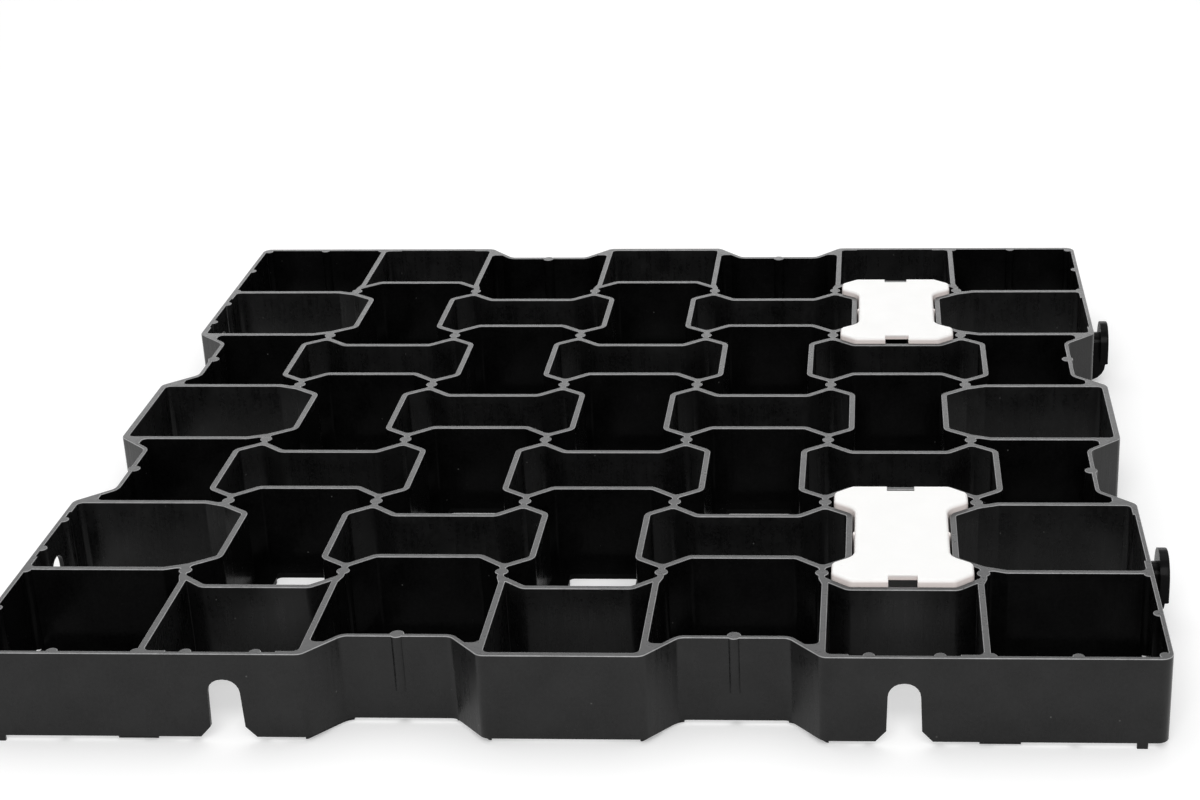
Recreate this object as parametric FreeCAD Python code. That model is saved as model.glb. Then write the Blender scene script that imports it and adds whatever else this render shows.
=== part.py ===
"""Grass paver grid: one moulded plastic unit of interlocking bone-shaped cells with two white marker caps.

Millimetres, +Z up. The unit lies flat with its underside on z = 0.
"""
import FreeCAD
import Part
import math
import os

from FreeCAD import Vector

# Lattice of cells
CELLS = 7  # cells along each side
PITCH = 69.3  # distance between neighbouring lattice lines
EDGE_MARGIN = 3.45  # outer face beyond the outermost lattice line
HEIGHT = 42.0  # wall tops above the ground
WALL = 2.8  # thickness of the inner walls
BEND_RADIUS = 4.0  # middle of an inner wall where it bends
POST_SIDES = 8  # flats round a post or a rib

# Bone-shaped cells, measured to the middle of their walls
BULGE = 11.3  # end of a lying bone beyond its lattice line
END_FLAT = 43.3  # straight length of that end
DENT = 14.4  # long side of a lying bone inside its lattice line
DENT_FLAT = 46.4  # straight length of that side
KNUCKLE_GAP = 10.0  # between the two bones that meet at a lattice node
NODE_POST = 6.6  # diameter of the post that joins them
SPOKE_SHIFT = 1.5  # walls of the outer cells, from their lattice line
SPOKE_LEAD = 10.0  # length over which such a wall bends to its node

# Outer wall
OUTER_WALL = 3.0  # thickness along the straight cells
OUTER_THIN = 2.0  # thickness at the corner cells and the indents
THIN_PATCH = 45.0  # width of the thinned middle behind a joining place
WALL_LIFT = 3.0  # lower edge above the ground
OUTER_BEND = 5.0  # radius of its vertical edges
INDENT_CELLS = (3, 5)  # cells whose outer wall is indented
INDENT_DEPTH = 15.5
INDENT_FLAT = 44.4  # straight back of an indent
INDENT_RUN = 13.9  # sideways run of an indent's slanted flank
INDENT_POCKET = 27.2  # outer end of an indented cell, from its middle; the flanks' feet stay solid
RIB_RADIUS = 2.5  # half-round ribs inside the outer wall
INDENT_RIB = 3.0  # radius of the ribs of the indents, which show on both faces
INDENT_RIB_DROP = 26.0  # length of such a rib on the outer face
FOOT_SETBACK = 0.5  # inner walls' feet behind the outer wall's inner face
CORNER_FOOT = 4.5  # small foot under the outer wall near each corner
CORNER_FOOT_INSET = 11.0  # middle of that foot from the unit's side

# Base ledges round the openings of the standing bones
LEDGE = 2.6  # thickness
LEDGE_SIDE = 6.3  # along a narrow waist
LEDGE_END = 10.3  # at the two ends
LEDGE_SPOKE = 13.0  # along the straight walls of the outer cells
OPENING_FLARE = 2.4  # an opening's widening on each side at its ends
OPENING_FLARE_RUN = 5.0  # length over which it widens
OPENING_RADIUS = 2.5

# Joining places: notches on the front and left, headed stems on the back and right
JOIN_CELLS = (2, 6)
NOTCH_WIDTH = 13.0  # at the round top
NOTCH_TAPER = 0.75  # extra on each side at the lower end
NOTCH_TOP = 30.0  # above the ground
NOTCH_MOUTH = 23.4  # width of the bevelled mouth
NOTCH_BEVEL = 4.8  # height of the bevel
NOTCH_RIB = 14.3  # flanking rib from the notch's middle
STEM_CLEARANCE = 0.5  # stem inside a notch, on each side
STEM_WALL = 2.5
STEM_LENGTH = 6.2  # outer face to the back of the head
HEAD_WIDTH = 24.0
HEAD_BOTTOM = 15.0
HEAD_TOP = 35.5
HEAD_THICKNESS = 4.3
HEAD_LIP = 0.8  # head beyond the end of the stem

# White marker caps, clipped into two cells
CAP_CELLS = {"marker_cap_front": (6, 2), "marker_cap_rear": (6, 6)}
CAP_GAP = 1.0  # to the cell's walls
CAP_POST_GAP = 0.75  # to the node posts
CAP_PROUD = 2.5  # top above the wall tops
CAP_PLATE = 2.5
CAP_SKIRT = 10.0  # lower edge of the skirt below the wall tops
CAP_WALL = 1.5  # skirt and legs
CAP_BEND = 6.0  # corner radius, on the line of the cell's wall middles
CAP_LEG = 12.0  # width of a leg
CAP_SLOT_WIDTH = 12.5  # lifting slots through the two ends
CAP_SLOT_DEPTH = 5.2
NUB_WIDTH = 5.0
NUB_GAP = 0.2  # centring nub to the cell's wall

# Values worked out from the sizes above
HALF = PITCH / 2
HALF_UNIT = CELLS * HALF + EDGE_MARGIN
REACH = STEM_LENGTH + HEAD_THICKNESS
CUT = 1.0  # how far cutting bodies stand past what they cut
UP = Vector(0, 0, 1)


def is_lying(column, row):
    """Lying bones and standing bones alternate like the squares of a chessboard."""
    return (column + row) % 2 == 1


def lattice(index):
    """Middle of a column or row, counted from 1 at the left or front."""
    return (index - (CELLS + 1) / 2) * PITCH


def at_edge(index):
    return index in (1, CELLS)


def directions(points, index):
    """Unit directions of the two sides that meet at a corner."""
    before = points[index] - points[index - 1]
    after = points[(index + 1) % len(points)] - points[index]
    return before.normalize(), after.normalize()


def inset(points, distance):
    """Moves each side of a counter-clockwise outline inwards."""
    moved = []
    for index, corner in enumerate(points):
        before, after = directions(points, index)
        normals = UP.cross(before) + UP.cross(after)
        moved.append(corner + normals * (distance / (1 + before.dot(after))))
    return moved


def rounded_wire(points, convex_radius, reflex_radius):
    """Closed wire with an arc at each corner of a counter-clockwise outline."""
    arcs = []
    for index, corner in enumerate(points):
        before, after = directions(points, index)
        turn = before.getAngle(after)
        radius = convex_radius if before.cross(after).z > 0 else reflex_radius
        setback = radius * math.tan(turn / 2)
        inwards = (after - before).normalize()
        middle = corner + inwards * (radius / math.cos(turn / 2) - radius)
        arcs.append((corner - before * setback, middle, corner + after * setback))
    edges = []
    for index, (start, middle, end) in enumerate(arcs):
        edges.append(Part.LineSegment(arcs[index - 1][2], start).toShape())
        edges.append(Part.Arc(start, middle, end).toShape())
    return Part.Wire(edges)


def bevelled_wire(points, convex_radius, reflex_radius):
    """Closed wire in which a flat that touches the bend's arc takes the turn of each corner."""
    corners = []
    for index, corner in enumerate(points):
        before, after = directions(points, index)
        turn = before.getAngle(after)
        radius = convex_radius if before.cross(after).z > 0 else reflex_radius
        setback = radius * (math.tan(turn / 2) - math.tan(turn / 4))
        corners += [corner - before * setback, corner + after * setback]
    return Part.makePolygon(corners + corners[:1])


def plan_face(points, distance, bend, bent_wire=bevelled_wire):
    """Flat face inside an outline, where bend is the radius on the outline itself."""
    return Part.Face(bent_wire(inset(points, distance), bend - distance, bend + distance))


def post_face(x, y, radius):
    """Plan of a post or rib whose flats touch a circle."""
    step = 2 * math.pi / POST_SIDES
    to_corner = radius / math.cos(step / 2)
    corners = []
    for side in range(POST_SIDES):
        angle = (side + 0.5) * step
        corners.append(Vector(x + to_corner * math.cos(angle), y + to_corner * math.sin(angle), 0))
    return Part.Face(Part.makePolygon(corners + corners[:1]))


def rectangle(low_x, low_y, high_x, high_y):
    return Part.makePlane(high_x - low_x, high_y - low_y, Vector(low_x, low_y, 0))


def prism(face, bottom, top):
    """Upright body on a plan face."""
    return face.translated(Vector(0, 0, bottom)).extrude(UP * (top - bottom))


def quarter_turns(shape):
    """The same shape on the unit's four sides."""
    turned = []
    for turn in range(4):
        turned.append(shape.rotated(Vector(), UP, 90 * turn))
    return turned


def outer_outline():
    """Corners of the unit's outer face, counter-clockwise, with two indents on each side."""
    side = [Vector(-HALF_UNIT, -HALF_UNIT, 0)]
    back = INDENT_DEPTH - HALF_UNIT
    for cell in INDENT_CELLS:
        middle = lattice(cell)
        flat_end = INDENT_FLAT / 2
        flank_end = flat_end + INDENT_RUN
        side.append(Vector(middle - flank_end, -HALF_UNIT, 0))
        side.append(Vector(middle - flat_end, back, 0))
        side.append(Vector(middle + flat_end, back, 0))
        side.append(Vector(middle + flank_end, -HALF_UNIT, 0))
    outline = []
    for turn in range(4):
        turned = FreeCAD.Rotation(UP, 90 * turn)
        outline += [turned.multVec(corner) for corner in side]
    return outline


def lobe(column):
    """Where a standing bone's two slanted walls cross an upright line near their node."""
    along_lower = (column - HALF + BULGE) / BULGE
    lower = END_FLAT / 2 + (HALF - KNUCKLE_GAP / 2 - END_FLAT / 2) * along_lower
    along_upper = (HALF - column) / (HALF - DENT_FLAT / 2)
    upper = HALF + KNUCKLE_GAP / 2 + (DENT - KNUCKLE_GAP / 2) * along_upper
    return [(column, lower), (column, upper)]


def corner_walls(column, row, side_x, side_y):
    """Wall middles round one corner of a cell, from its x side to its y side."""
    lying = is_lying(column, row)
    outwards = 1 if lying else -1
    spoke = HALF - outwards * SPOKE_SHIFT
    if lying:
        beyond = HALF + EDGE_MARGIN - OUTER_WALL + WALL / 2
    elif at_edge(column) and at_edge(row):
        beyond = HALF + 2 * EDGE_MARGIN
    else:
        beyond = INDENT_POCKET + WALL / 2
    last_x = column == (CELLS if side_x > 0 else 1)
    last_y = row == (CELLS if side_y > 0 else 1)
    if last_x and last_y:
        return [(beyond, beyond)]
    if last_x:
        return [(beyond, spoke)]
    if last_y:
        return [(spoke, beyond)]
    beside = (spoke, HALF - SPOKE_LEAD) if at_edge(row) else (HALF + outwards * BULGE, END_FLAT / 2)
    above = (HALF - SPOKE_LEAD, spoke) if at_edge(column) else (DENT_FLAT / 2, HALF - outwards * DENT)
    node = [(HALF, HALF - KNUCKLE_GAP / 2)] if lying else lobe(HALF)
    return [beside] + node + [above]


def around(quarter):
    """Closed outline from the corner walls that quarter(side_x, side_y) gives for each corner."""
    outline = []
    for side_x, side_y in ((1, 1), (-1, 1), (-1, -1), (1, -1)):
        corner = [Vector(side_x * x, side_y * y, 0) for x, y in quarter(side_x, side_y)]
        if side_x * side_y < 0:
            corner.reverse()
        outline += corner
    return outline


def cell_outline(column, row):
    """Wall middles all round a cell, in the unit's plan."""
    middle = Vector(lattice(column), lattice(row), 0)
    local = around(lambda side_x, side_y: corner_walls(column, row, side_x, side_y))
    return [middle + point for point in local]


def ledge_opening(column, row):
    """Floor opening of a standing bone, inside the ledge that runs along its inner walls."""
    waist = HALF - BULGE - WALL / 2 - LEDGE_SIDE
    end = HALF + DENT - WALL / 2 - LEDGE_END
    spoke = HALF + SPOKE_SHIFT - WALL / 2 - LEDGE_SPOKE
    reach_x = spoke if at_edge(row) else waist
    reach_y = spoke if at_edge(column) else end

    def quarter(side_x, side_y):
        if not (at_edge(column) or at_edge(row)):
            return [(waist, end - OPENING_FLARE_RUN), (waist + OPENING_FLARE, end)]
        last_x = column == (CELLS if side_x > 0 else 1)
        last_y = row == (CELLS if side_y > 0 else 1)
        return [(PITCH if last_x else reach_x, PITCH if last_y else reach_y)]

    middle = Vector(lattice(column), lattice(row), 0)
    return [middle + point for point in around(quarter)]


def node_posts(column, row):
    """Posts at the lattice nodes round a cell."""
    posts = []
    for x in (lattice(column) - HALF, lattice(column) + HALF):
        for y in (lattice(row) - HALF, lattice(row) + HALF):
            if max(abs(x), abs(y)) < HALF * (CELLS - 1):
                posts.append(post_face(x, y, NODE_POST / 2))
    return posts


def wall_ribs():
    """Half-round ribs on the inside of the outer wall, in plan."""
    thin_face = HALF_UNIT - OUTER_THIN
    indent_face = thin_face - INDENT_DEPTH
    spoke = lattice(CELLS) - HALF - SPOKE_SHIFT
    ribs = []
    for cell in (1, CELLS):
        ribs += quarter_turns(post_face(lattice(cell), -thin_face, RIB_RADIUS))
    for cell in INDENT_CELLS:
        ribs += quarter_turns(post_face(lattice(cell), -indent_face, INDENT_RIB))
    for side in (-1, 1):
        ribs += quarter_turns(post_face(side * (spoke + WALL / 2), -thin_face, RIB_RADIUS))
    ribs += quarter_turns(post_face(thin_face - WALL / 2, -thin_face + WALL / 2, RIB_RADIUS))
    return ribs


def notch_ribs():
    """Ribs that flank the notches on the front wall and the left wall."""
    thin_face = HALF_UNIT - OUTER_THIN
    ribs = []
    for cell in JOIN_CELLS:
        for side in (-1, 1):
            along = lattice(cell) + side * NOTCH_RIB
            ribs.append(post_face(along, -thin_face, RIB_RADIUS))
            ribs.append(post_face(-thin_face, along, RIB_RADIUS))
    return ribs


def thin_patches():
    """Shallow recesses behind the joining places of all four sides."""
    patches = []
    for cell in JOIN_CELLS:
        low_x = lattice(cell) - THIN_PATCH / 2
        patch = rectangle(low_x, OUTER_THIN - HALF_UNIT, low_x + THIN_PATCH, OUTER_WALL + CUT - HALF_UNIT)
        patches += quarter_turns(patch)
    return patches


def near(column, row, faces):
    """The faces whose middle lies in or just beside a cell."""
    x, y = lattice(column), lattice(row)
    found = []
    for face in faces:
        middle = face.BoundBox.Center
        if max(abs(middle.x - x), abs(middle.y - y)) < HALF + EDGE_MARGIN + NODE_POST:
            found.append(face)
    return found


def cell_pocket(column, row, trim, ribs, patches):
    """The body that is hollowed out of the block for one cell."""
    lying = is_lying(column, row)
    plan = plan_face(cell_outline(column, row), WALL / 2, BEND_RADIUS)
    if lying:
        floor, lower = WALL_LIFT, plan
    else:
        floor, lower = LEDGE, plan_face(ledge_opening(column, row), 0, OPENING_RADIUS)
    on_edge = at_edge(column) or at_edge(row)
    if on_edge:
        widened = near(column, row, patches) if lying else []
        plan = plan.fuse(widened).removeSplitter() if widened else plan
        plan = plan.common(trim)
        lower = lower.common(trim)
    kept = near(column, row, ribs) if on_edge else []
    if not lying:
        kept += node_posts(column, row)
    upper = plan.cut(kept) if kept else plan
    return [prism(lower, -CUT, floor + CUT / 2), prism(upper, floor, HEIGHT + CUT)]


def arch_face(half_width, top, bottom, taper):
    """Upright face with a round top, in the XZ plane."""
    spring = top - half_width
    left = Vector(-half_width, 0, spring)
    right = Vector(half_width, 0, spring)
    crown = Part.Arc(left, Vector(0, 0, top), right).toShape()
    low_right = Vector(half_width + taper, 0, bottom)
    low_left = Vector(-half_width - taper, 0, bottom)
    legs = Part.makePolygon([right, low_right, low_left, left])
    return Part.Face(Part.Wire([crown] + legs.Edges))


def notch():
    """Cutting body of one notch in the front wall, with its bevelled mouth."""
    slot = arch_face(NOTCH_WIDTH / 2, NOTCH_TOP, WALL_LIFT - CUT, NOTCH_TAPER)
    throat = NOTCH_WIDTH / 2 + NOTCH_TAPER
    slope = (NOTCH_MOUTH / 2 - throat) / NOTCH_BEVEL
    mouth = NOTCH_MOUTH / 2 + slope * CUT
    bevel_top = WALL_LIFT + NOTCH_BEVEL
    flare = Part.Face(Part.makePolygon([
        Vector(-throat, 0, bevel_top),
        Vector(throat, 0, bevel_top),
        Vector(mouth, 0, WALL_LIFT - CUT),
        Vector(-mouth, 0, WALL_LIFT - CUT),
        Vector(-throat, 0, bevel_top),
    ]))
    depth = Vector(0, OUTER_WALL + 2 * CUT, 0)
    body = slot.extrude(depth).fuse(flare.extrude(depth))
    return body.translated(Vector(0, -HALF_UNIT - CUT, 0))


def stem_side():
    """Side view of a stem on the back wall, with its toe rounded up to the head, as wide as a notch."""
    root = HALF_UNIT - OUTER_THIN / 2
    end = HALF_UNIT + REACH - HEAD_LIP
    radius = end - HALF_UNIT
    toe = Vector(0, HALF_UNIT, WALL_LIFT)
    slant = math.sin(math.pi / 4)
    bend = Vector(0, HALF_UNIT + radius * slant, WALL_LIFT + radius * (1 - slant))
    tip = Vector(0, end, WALL_LIFT + radius)
    corners = [tip, Vector(0, end, NOTCH_TOP), Vector(0, root, NOTCH_TOP), Vector(0, root, WALL_LIFT), toe]
    wire = Part.Wire([Part.Arc(toe, bend, tip).toShape()] + Part.makePolygon(corners).Edges)
    return Part.Face(wire).translated(Vector(-NOTCH_WIDTH / 2, 0, 0)).extrude(Vector(NOTCH_WIDTH, 0, 0))


def headed_stem():
    """One connector on the back wall: a hollow arched stem with a wider arched head."""
    half_width = NOTCH_WIDTH / 2 - STEM_CLEARANCE
    top = NOTCH_TOP - STEM_CLEARANCE
    outside = arch_face(half_width, top, WALL_LIFT, 0).extrude(Vector(0, OUTER_WALL + REACH, 0))
    stem = outside.translated(Vector(0, HALF_UNIT - OUTER_WALL, 0)).common(stem_side())
    inside = arch_face(half_width - STEM_WALL, top - STEM_WALL, WALL_LIFT - CUT, 0)
    hollow = inside.extrude(Vector(0, STEM_LENGTH, 0)).translated(Vector(0, HALF_UNIT, 0))
    head = arch_face(HEAD_WIDTH / 2, HEAD_TOP, HEAD_BOTTOM, 0).extrude(Vector(0, HEAD_THICKNESS, 0))
    head.translate(Vector(0, HALF_UNIT + STEM_LENGTH, 0))
    return stem.cut(hollow).fuse(head)


def on_two_sides(shape):
    """Copies at both joining cells of a side and of the next side clockwise."""
    copies = []
    for cell in JOIN_CELLS:
        placed = shape.translated(Vector(lattice(cell), 0, 0))
        copies.append(placed)
        copies.append(placed.rotated(Vector(), UP, -90))
    return copies


def indent_ribs():
    """Shallow ribs that show on the outside of the indents."""
    middle = HALF_UNIT - OUTER_THIN - INDENT_DEPTH
    ribs = []
    for cell in INDENT_CELLS:
        ribs += quarter_turns(post_face(lattice(cell), -middle, INDENT_RIB))
    return [prism(rib, HEIGHT - INDENT_RIB_DROP, HEIGHT) for rib in ribs]


def corner_feet():
    """Small feet that carry the outer wall near the unit's corners."""
    along = HALF_UNIT - CORNER_FOOT_INSET
    feet = []
    for side in (-1, 1):
        low_x = side * along - CORNER_FOOT / 2
        plan = rectangle(low_x, -HALF_UNIT + OUTER_THIN / 4, low_x + CORNER_FOOT, OUTER_THIN - HALF_UNIT)
        feet += quarter_turns(prism(plan, 0, WALL_LIFT + CUT))
    return feet


def paver_grid():
    """The moulded grid: a block with indented sides, hollowed out cell by cell."""
    outline = outer_outline()
    block = prism(plan_face(outline, 0, OUTER_BEND, rounded_wire), WALL_LIFT, HEIGHT)
    base = prism(plan_face(outline, OUTER_WALL + FOOT_SETBACK, OUTER_BEND, rounded_wire), 0, WALL_LIFT)
    trim = plan_face(outline, OUTER_THIN, OUTER_BEND, rounded_wire)
    ribs = wall_ribs() + notch_ribs()
    patches = thin_patches()
    pockets = []
    for column in range(1, CELLS + 1):
        for row in range(1, CELLS + 1):
            pockets += cell_pocket(column, row, trim, ribs, patches)
    grid = block.fuse(base).cut(pockets + on_two_sides(notch()))
    grid = grid.fuse(on_two_sides(headed_stem()) + indent_ribs() + corner_feet())
    return grid.removeSplitter()


def end_strip(way, low_x, width, reach, depth):
    """Rectangle inside one end of a cap."""
    low_y = min(way * reach, way * (reach - depth))
    return rectangle(low_x, low_y, low_x + width, low_y + depth)


def marker_cap(column, row):
    """White cap with a skirt, four legs that stand on the cell's end ledges, and two lifting slots."""
    to_wall = WALL / 2 + CAP_GAP
    column_line = HALF - NODE_POST / 2 - CAP_POST_GAP + to_wall
    quarter = [(HALF - BULGE, END_FLAT / 2)] + lobe(column_line) + [(DENT_FLAT / 2, HALF + DENT)]
    outline = around(lambda side_x, side_y: quarter)
    top = HEIGHT + CAP_PROUD
    plate_under = top - CAP_PLATE
    skirt_end = HEIGHT - CAP_SKIRT
    end = HALF + DENT - to_wall
    hollows = [prism(plan_face(outline, to_wall + CAP_WALL, CAP_BEND), skirt_end - CUT, plate_under)]
    legs = []
    for way in (-1, 1):
        slot = end_strip(way, -CAP_SLOT_WIDTH / 2, CAP_SLOT_WIDTH, end + CUT, CAP_SLOT_DEPTH + CUT)
        hollows.append(prism(slot, skirt_end - CUT, top + CUT))
        for hand in (-1, 1):
            leg_x = hand * (CAP_SLOT_WIDTH + CAP_LEG) / 2 - CAP_LEG / 2
            leg = end_strip(way, leg_x, CAP_LEG, end, CAP_WALL)
            legs.append(prism(leg, LEDGE, skirt_end + CUT))
    nub_reach = HALF - BULGE - WALL / 2 - NUB_GAP
    nubs = prism(rectangle(-nub_reach, -NUB_WIDTH / 2, nub_reach, NUB_WIDTH / 2), skirt_end, top)
    cap = prism(plan_face(outline, to_wall, CAP_BEND), skirt_end, top).fuse([nubs] + legs)
    cap = cap.cut(hollows).removeSplitter()
    return cap.translated(Vector(lattice(column), lattice(row), 0))


def main():
    os.makedirs("parts", exist_ok=True)
    to_footprint_middle = Vector(-REACH / 2, -REACH / 2, 0)
    pieces = {"paver_grid": paver_grid()}
    for name, (column, row) in CAP_CELLS.items():
        pieces[name] = marker_cap(column, row)
    for name, shape in pieces.items():
        placed = shape.translated(to_footprint_middle)
        placed.exportStep("parts/" + name + ".step")
        box = placed.BoundBox
        size = f"{box.XLength:.2f} x {box.YLength:.2f} x {box.ZLength:.2f}"
        print(name, len(placed.Solids), placed.isValid(), size, f"{placed.Volume / 1000:.1f} cm3")


main()
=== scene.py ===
"""Looks of the grass paver grid: the moulded black grid and its two white marker caps on a pale floor."""

import math

import bpy
from mathutils import Matrix, Vector


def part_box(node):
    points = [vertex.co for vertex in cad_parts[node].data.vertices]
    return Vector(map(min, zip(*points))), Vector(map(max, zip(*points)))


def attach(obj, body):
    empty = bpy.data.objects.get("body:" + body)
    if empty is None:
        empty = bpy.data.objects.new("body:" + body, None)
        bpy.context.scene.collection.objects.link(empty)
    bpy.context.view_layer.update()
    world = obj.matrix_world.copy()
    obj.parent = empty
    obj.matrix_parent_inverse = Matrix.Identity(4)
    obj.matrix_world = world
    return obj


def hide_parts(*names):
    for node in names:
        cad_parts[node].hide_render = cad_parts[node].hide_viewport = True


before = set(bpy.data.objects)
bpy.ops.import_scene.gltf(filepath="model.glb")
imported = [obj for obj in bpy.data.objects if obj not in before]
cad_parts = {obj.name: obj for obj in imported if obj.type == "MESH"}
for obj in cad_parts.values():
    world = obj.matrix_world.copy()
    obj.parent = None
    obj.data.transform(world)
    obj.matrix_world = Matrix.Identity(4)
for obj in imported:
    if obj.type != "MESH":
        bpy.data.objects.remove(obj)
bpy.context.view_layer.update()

MM = 0.001  # metres in a millimetre
QUARTER_TURN = math.pi / 2

# Lattice of cells, in millimetres like all the sizes of the pieces
CELLS = 7  # cells along each side
PITCH = 69.3  # distance between neighbouring lattice lines
EDGE_MARGIN = 3.45  # outer face beyond the outermost lattice line
WALL = 2.8  # thickness of the inner walls
BEND_RADIUS = 4.0  # middle of an inner wall where it bends

# Bone-shaped cells, measured to the middle of their walls
BULGE = 11.3  # end of a lying bone beyond its lattice line
END_FLAT = 43.3  # straight length of that end
DENT = 14.4  # long side of a lying bone inside its lattice line
DENT_FLAT = 46.4  # straight length of that side
KNUCKLE_GAP = 10.0  # between the two bones that meet at a lattice node
NODE_POST = 5.8  # diameter of the post that joins them
SPOKE_SHIFT = 1.5  # walls of the outer cells, from their lattice line
SPOKE_LEAD = 10.0  # length over which such a wall bends to its node

# Outer wall
OUTER_WALL = 3.0  # thickness along the straight cells
OUTER_THIN = 2.0  # thickness at the corner cells and the indents
THIN_PATCH = 45.0  # width of the thinned middle behind a joining place
WALL_LIFT = 3.0  # lower edge above the ground
OUTER_BEND = 5.0  # radius of its vertical edges
INDENT_CELLS = (3, 5)  # cells whose outer wall is indented
INDENT_DEPTH = 15.5
INDENT_FLAT = 44.4  # straight back of an indent
INDENT_RUN = 13.9  # sideways run of an indent's slanted flank
INDENT_POCKET = 27.2  # outer end of an indented cell, from its middle
RIB_RADIUS = 2.5  # half-round ribs inside the outer wall
INDENT_RIB = 3.0  # radius of the ribs of the indents, which show on both faces
INDENT_RIB_DROP = 26.0  # length of such a rib on the outer face
FOOT_SETBACK = 0.5  # inner walls' feet behind the outer wall's inner face
CORNER_FOOT = 4.5  # small foot under the outer wall near each corner
CORNER_FOOT_INSET = 11.0  # middle of that foot from the unit's side
CORNER_FOOT_SETBACK = 0.5  # its front behind the outer face

# Base ledges round the openings of the standing bones
LEDGE = 2.6  # thickness
LEDGE_SIDE = 6.3  # along a narrow waist
LEDGE_END = 10.3  # at the two ends
LEDGE_SPOKE = 13.0  # along the straight walls of the outer cells
OPENING_FLARE = 2.4  # an opening's widening on each side at its ends
OPENING_FLARE_RUN = 5.0  # length over which it widens
OPENING_RADIUS = 2.5

# Joining places: notches on the front and left, headed stems on the back and right
JOIN_CELLS = (2, 6)
NOTCH_WIDTH = 13.0  # at the round top
NOTCH_TAPER = 0.75  # extra on each side at the lower end
NOTCH_TOP = 30.0  # above the ground
NOTCH_MOUTH = 23.4  # width of the bevelled mouth
NOTCH_BEVEL = 4.8  # height of the bevel
NOTCH_RIB = 14.3  # flanking rib from the notch's middle
STEM_CLEARANCE = 0.5  # stem inside a notch, on each side
STEM_WALL = 2.5
STEM_LENGTH = 6.2  # outer face to the back of the head
HEAD_WIDTH = 24.0
HEAD_BOTTOM = 15.0
HEAD_TOP = 35.5
HEAD_THICKNESS = 4.3
HEAD_LIP = 0.8  # head beyond the end of the stem

# White marker caps, clipped into two cells
CAP_CELLS = {"marker_cap_front": (6, 2), "marker_cap_rear": (6, 6)}
CAP_GAP = 1.0  # to the cell's walls
CAP_POST_GAP = 1.15  # to the node posts
CAP_PROUD = 2.5  # top above the wall tops
CAP_PLATE = 2.5
CAP_SKIRT = 10.0  # lower edge of the skirt below the wall tops
CAP_WALL = 1.5  # skirt and legs
CAP_BEND = 6.0  # corner radius, on the line of the cell's wall middles
CAP_LEG = 12.0  # width of a leg
CAP_SLOT_WIDTH = 12.5  # lifting slots through the two ends
CAP_SLOT_DEPTH = 5.2
NUB_WIDTH = 5.0
NUB_GAP = 0.2  # centring nub to the cell's wall

# Softness of the moulded edges
RIM = 0.4  # rounding of the wall tops
HEAD_RIM = 0.9  # rounding of a connector's head
CAP_RIM = 1.4  # rounding of a cap's upper edge
SLOT_RIM = 0.5  # rounding of a cap's slots and nubs
PLAIN_RIM = 0.2  # upper steps of a body whose sides stay straight
RIM_ANGLES = (0, 30, 60, 85)  # steps round a rim, in degrees
BEND_STEPS = 5  # points round a bend
SHARP_BEND = 0.1  # radius of a corner that looks sharp
STRIP_BEND = 0.2  # radius at the corners of a cap's legs and slots
PATCH_BEND = 0.3  # radius at the corners of the recesses and small feet
BEVEL_BEND = 0.5  # radius where a notch's bevel begins
NOTCH_ARCH = 0.96  # share of a notch's half width in each bend of its top
POST_POINTS = 20  # points round a post or a rib
CRISP_ANGLE = math.radians(34)  # edges that turn further stay crisp
WELD = 1e-6  # points nearer than this are joined, in metres

# Values worked out from the sizes above and from the frame
HALF = PITCH / 2
HALF_UNIT = CELLS * HALF + EDGE_MARGIN
REACH = STEM_LENGTH + HEAD_THICKNESS
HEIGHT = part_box("paver_grid")[1][2] / MM
CAP_TOP = HEIGHT + CAP_PROUD
MIDDLE = -REACH / 2  # the unit's middle in the shared frame, along x and y

# Helper lengths
CUT = 1.0  # how far a body stands past what it cuts or joins
PROBE = 2.0 * MM  # how far in front of a face its cell is looked for, in metres
PROBE_SLACK = PROBE / 10  # how far from a cell's plan a probe may lie

# Camera, fitted to the lattice nodes and the outer edges in the 1200 x 800 photograph
CAMERA_PLACE = (0.1211, -1.0173, 0.4843)
CAMERA_HEADING = math.radians(2.67)  # to the left of +Y
CAMERA_TILT = math.radians(23.30)  # below the horizon
CAMERA_ROLL = math.radians(-1.02)
CAMERA_LENS = 65.95
CAMERA_SENSOR = 36.0
CAMERA_SHIFT = -0.15

# Studio, in metres and watts
LAMPS = {
    "overhead_softbox": {"place": (0.0, 0.5, 1.9), "aim": (0, 0.05, 0), "size": (1.8, 1.4), "power": 10},
    "front_softbox": {"place": (0.15, -1.9, 1.5), "aim": (0, 0, 0), "size": (1.6, 1.2), "power": 30},
    "back_softbox": {"place": (-0.5, 2.4, 0.95), "aim": (0, 0, 0), "size": (3.0, 0.7), "power": 10},
}
WHITE = (1, 1, 1, 1)
DOME_LIGHT = 0.5  # strength of the white surroundings as a light; seen or mirrored they are plain white
FLOOR_HALF = 6.0
FLOOR_COLOUR = 0.8
FLOOR_ROUGHNESS = 0.9
FLOOR_GLOW = 0.28
FLOOR_BLEND = 0.012  # width over which the floor's glow changes

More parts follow.
